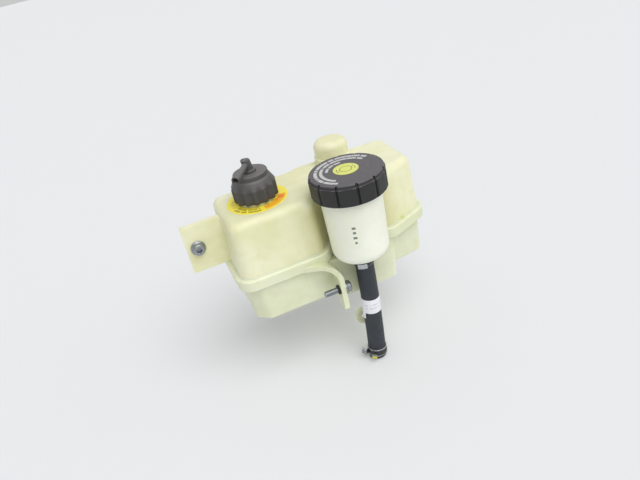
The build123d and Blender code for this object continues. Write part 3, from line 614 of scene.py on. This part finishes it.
# vent elbow: collared post with two prongs on its crown, and a flared arm with an open end
# the arm's end is given as radius and distance back from the tip
vent = {
    "post": [
        (0.0, 59.0), (6.2, 59.0), (6.2, 60.6), (5.8, 61.2), (4.8, 61.4), (4.6, 62.0), (4.4, 63.0),
        (4.4, 70.4), (4.0, 71.2), (3.2, 71.4), (0.0, 71.4),
    ],
    "armEnd": [
        (2.9, 15.0), (3.2, 11.0), (3.9, 7.0), (4.2, 3.5), (4.2, 1.0), (3.8, 0.2), (3.0, 0.0), (2.5, 0.4),
        (1.9, 4.0), (1.8, 8.0), (0.0, 8.0),
    ],
    "armRadius": 2.9, "armHeight": 67.0, "armAngle": 233.0, "armReach": 31.0, "armDrop": 2.5,
    "prong": (3.6, 1.8, 3.0), "prongEdge": 0.4, "prongSpread": 2.5, "prongHeight": 70.4,
    "lean": 0.16, "leanFrom": 61.5, "leanReach": 7.0, "postSteps": 40, "armSteps": 32,
}
bm = bmesh.new()
turned(bm, vent["post"], neckAxis, vent["postSteps"])
armTurn = math.radians(vent["armAngle"])
armAway = vent["armReach"] * math.cos(armTurn), vent["armReach"] * math.sin(armTurn)
armRun = Vector((*armAway, -vent["armDrop"]))
armAim = armRun.to_track_quat("Z", "Y").to_matrix().to_4x4()
armFrame = Matrix.Translation((*neckAxis, vent["armHeight"])) @ armAim
armProfile = [(0.0, 0.0), (vent["armRadius"], 0.0)]
armProfile += [(radius, armRun.length - back) for radius, back in vent["armEnd"]]
arm = bmesh.new()
turned(arm, armProfile, (0.0, 0.0), vent["armSteps"])
bmesh.ops.transform(arm, matrix=armFrame, verts=arm.verts[:])
armMesh = bpy.data.meshes.new("arm")
arm.to_mesh(armMesh)
arm.free()
bm.from_mesh(armMesh)
bpy.data.meshes.remove(armMesh)
crown = Matrix.Translation((*neckAxis, vent["prongHeight"])) @ Matrix.Rotation(armTurn, 4, "Z")
for side in (-1, 1):
    spot = crown @ Matrix.Translation((0, side * vent["prongSpread"], 0))
    softBox(bm, vent["prong"], vent["prongEdge"], spot)
for vert in bm.verts:
    if (vert.co.xy - Vector(neckAxis)).length < vent["leanReach"]:
        vert.co.x -= vent["lean"] * max(0.0, vert.co.z - vent["leanFrom"])
ventPiece = place(bm, "ventElbow", "filler_cover", fillerPlastic)
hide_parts("vent_elbow")

# fixing screws: flanged head with a hexagon socket, waisted shank and a rolled thread
screw = {
    "profile": [
        (0.0, 13.5), (2.1, 13.5), (2.6, 13.0), (2.6, 6.0), (2.6, 0.3), (2.5, 0.0), (2.5, -7.0), (6.9, -7.0),
        (7.2, -7.25), (7.25, -7.6), (7.25, -8.3), (7.0, -8.6), (6.2, -8.95), (5.9, -9.2), (5.8, -9.6),
        (5.8, -12.1), (5.6, -12.7), (5.1, -13.2), (4.4, -13.5), (3.1, -13.5), (2.8, -13.2), (2.8, -10.4),
        (0.0, -10.1),
    ],
    "steps": 48, "socket": 2.5, "socketRound": 2.8, "socketReach": 3.3, "socketFloor": -9.9,
    "ridge": [(2.5, -0.48), (3.0, -0.2), (3.0, 0.2), (2.5, 0.48)],
    "threadStart": 0.7, "pitch": 1.0, "turns": 12, "stepsPerTurn": 28,
}


def hexagonal(radius, angle, height):
    if height > screw["socketFloor"] or radius > screw["socketReach"]:
        return radius
    flat = screw["socket"] / math.cos(math.radians((angle + 30) % 60 - 30))
    return flat * radius / screw["socketRound"]


# where each screw's free thread starts, and the turn of its axes
screwSeats = {
    "tab_screw": ((0.0, 0.0, 0.0), ((1, 0, 0), (0, 0, 1), (0, -1, 0))),
    "bracket_screw": ((108.5, -65.5, -64.5), ((0, 0, -1), (1, 0, 0), (0, -1, 0))),
}
for node, (spot, axes) in screwSeats.items():
    bm = bmesh.new()
    turned(bm, screw["profile"], (0.0, 0.0), screw["steps"])
    reshape(bm, (0.0, 0.0), hexagonal)
    run = screw["threadStart"], screw["pitch"], screw["turns"], screw["stepsPerTurn"]
    helix(bm, (0.0, 0.0), screw["ridge"], *run)
    seat = Matrix.Translation(spot) @ Matrix(axes).to_4x4()
    bmesh.ops.transform(bm, matrix=seat, verts=bm.verts[:])
    screwPiece = place(bm, node.split("_")[0] + "FixingScrew", "tank", zincSteel)
    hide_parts(node)


# frame on the hose's own line, at a depth below its upper end
def onHose(depth):
    for before, after in zip(hosePath, hosePath[1:]):
        run = (after - before).length
        if depth <= run:
            break
        depth -= run
    axis = (before - after).normalized()
    side = Vector((0, 1, 0)).cross(axis).normalized()
    turn = Matrix((side, axis.cross(side), axis)).transposed().to_4x4()
    return Matrix.Translation(before.lerp(after, depth / run)) @ turn


# spring band clamps: each tang, by its angle, carries a plate of a width and height, bent and raised
clamp = {
    "band": [
        (9.1, -3.7), (9.3, -4.0), (9.8, -4.0), (10.0, -3.7), (10.0, 3.7), (9.8, 4.0), (9.3, 4.0), (9.1, 3.7),
    ],
    "steps": 72, "tang": (5.4, 0.9, 5.0), "tangEnd": 15.0, "sheet": 0.9, "edge": 0.25,
    "places": {
        "upper_hose_clamp": (5.5, {233.5: (4.6, 5.0, 0, 0), 251.0: (4.6, 5.0, 0, 0)}, upperSpring),
        "lower_hose_clamp": (116.1, {180.0: (6.4, 8.0, 26, 1.8), 234.0: (5.4, 5.0, 0, 0)}, lowerSpring),
    },
}
for node, (depth, tangs, finish) in clamp["places"].items():
    bm = bmesh.new()
    turned(bm, clamp["band"], (0.0, 0.0), clamp["steps"], closed=True)
    for angle, (width, tall, bend, rise) in tangs.items():
        turnTo = Matrix.Rotation(math.radians(angle), 4, "Z")
        tangSpot = Matrix.Translation((clamp["tangEnd"] - clamp["tang"][0] / 2, 0, 0))
        plateSpot = Matrix.Translation((clamp["tangEnd"] - clamp["sheet"] / 2, 0, rise))
        plateTurn = Matrix.Rotation(math.radians(bend), 4, "Z")
        softBox(bm, clamp["tang"], clamp["edge"], turnTo @ tangSpot)
        softBox(bm, (clamp["sheet"], width, tall), clamp["edge"], turnTo @ plateSpot @ plateTurn)
    bmesh.ops.transform(bm, matrix=onHose(depth), verts=bm.verts[:])
    piece = place(bm, node.split("_")[0] + "BandClamp", "tank", finish)
    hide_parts(node)

# wrap label, with a loose tail
wrap = {
    "film": [(9.05, -8.0), (9.35, -8.0), (9.4, -7.7), (9.4, 7.7), (9.35, 8.0), (9.05, 8.0)],
    "steps": 64, "depth": 57.6,
    "tail": (0.5, 4.2, 17.0), "tailEdge": 0.15, "tailTurn": 192.0, "tailSpot": (9.6, 0, -5.5), "tailTilt": -4,
}
bm = bmesh.new()
turned(bm, wrap["film"], (0.0, 0.0), wrap["steps"], closed=True)
tailSpot = Matrix.Rotation(math.radians(wrap["tailTurn"]), 4, "Z") @ Matrix.Translation(wrap["tailSpot"])
tailTilt = Matrix.Rotation(math.radians(wrap["tailTilt"]), 4, "Y")
softBox(bm, wrap["tail"], wrap["tailEdge"], tailSpot @ tailTilt)
bmesh.ops.transform(bm, matrix=onHose(wrap["depth"]), verts=bm.verts[:])
wrapPiece = place(bm, "hoseWrapLabel", "tank", whiteFilm)
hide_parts("hose_label")

# rolled thread ridges on the neck and on the cup's mouth, under the caps
# each has its axis, root radius, first height, pitch, turns, slot and finish
thread = {"rise": 0.28, "foot": 0.9, "crest": 0.35, "stepsPerTurn": 72}
threads = {
    "neckThread": (neckAxis, 17.15, 34.6, 3.0, 2.6, "tank_plastic", upperPlastic),
    "cupThread": (cupAxis, 29.85, 38.8, 3.2, 2.2, "cup_plastic", cupPlastic),
}
for name, (centre, root, start, pitch, turns, slot, finish) in threads.items():
    bm = bmesh.new()
    top, foot, crest = root + thread["rise"], thread["foot"], thread["crest"]
    section = [(root, -foot), (top, -crest), (top, crest), (root, foot)]
    helix(bm, centre, section, start, pitch, turns, thread["stepsPerTurn"])
    place(bm, name, "tank", finish)

# weld bead: flash in the corner where the belt meets the upper shell, run round the shell's own outline
# its section is given as distance out from the outline, and height
bead = {
    "section": [(-0.15, -24.3), (0.1, -24.9), (0.5, -25.25), (1.3, -25.42), (1.3, -25.6), (-0.15, -25.6)],
    "height": -25.7, "join": 0.005, "thin": 0.02, "fewest": 8,
}
bm = bmesh.new()
bm.from_mesh(nodes["tank_upper_shell"].data)
bmesh.ops.scale(bm, vec=(1 / mm, 1 / mm, 1 / mm), verts=bm.verts[:])
bmesh.ops.remove_doubles(bm, verts=bm.verts[:], dist=bead["join"])
bmesh.ops.bisect_plane(
    bm, geom=bm.verts[:] + bm.edges[:] + bm.faces[:], plane_co=(0, 0, bead["height"]), plane_no=(0, 0, 1),
    clear_inner=True, clear_outer=True,
)
bmesh.ops.remove_doubles(bm, verts=bm.verts[:], dist=bead["thin"])
loops, seen = [], set()
for start in bm.verts:
    ring = []
    spot = start
    while spot and spot not in seen:
        seen.add(spot)
        ring.append(spot)
        beside = [edge.other_vert(spot) for edge in spot.link_edges]
        spot = next((vert for vert in beside if vert not in seen), None)
    if len(ring) > bead["fewest"]:
        loops.append(ring)
outline = max(loops, key=lambda ring: sum((a.co - b.co).length for a, b in zip(ring, ring[1:])))
area = sum(a.co.x * b.co.y - a.co.y * b.co.x for a, b in zip(outline, outline[1:] + outline[:1]))
spots = [vert.co.copy() for vert in outline]
bm.free()
bm = bmesh.new()
rows = []
for out, height in bead["section"]:
    row = []
    for before, here, after in zip(spots[-1:] + spots[:-1], spots, spots[1:] + spots[:1]):
        run = (after - before).normalized() * (1 if area > 0 else -1)
        row.append(bm.verts.new((here.x + run.y * out, here.y - run.x * out, height)))
    rows.append([bm.edges.new(pair) for pair in zip(row, row[1:] + row[:1])])
for first, second in zip(rows, rows[1:] + rows[:1]):
    bmesh.ops.bridge_loops(bm, edges=first + second)
bmesh.ops.recalc_face_normals(bm, faces=bm.faces[:])
print("bead runs round", len(spots), "points of", len(loops), "loops")
place(bm, "weldBead", "tank", lowerPlastic)

low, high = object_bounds()
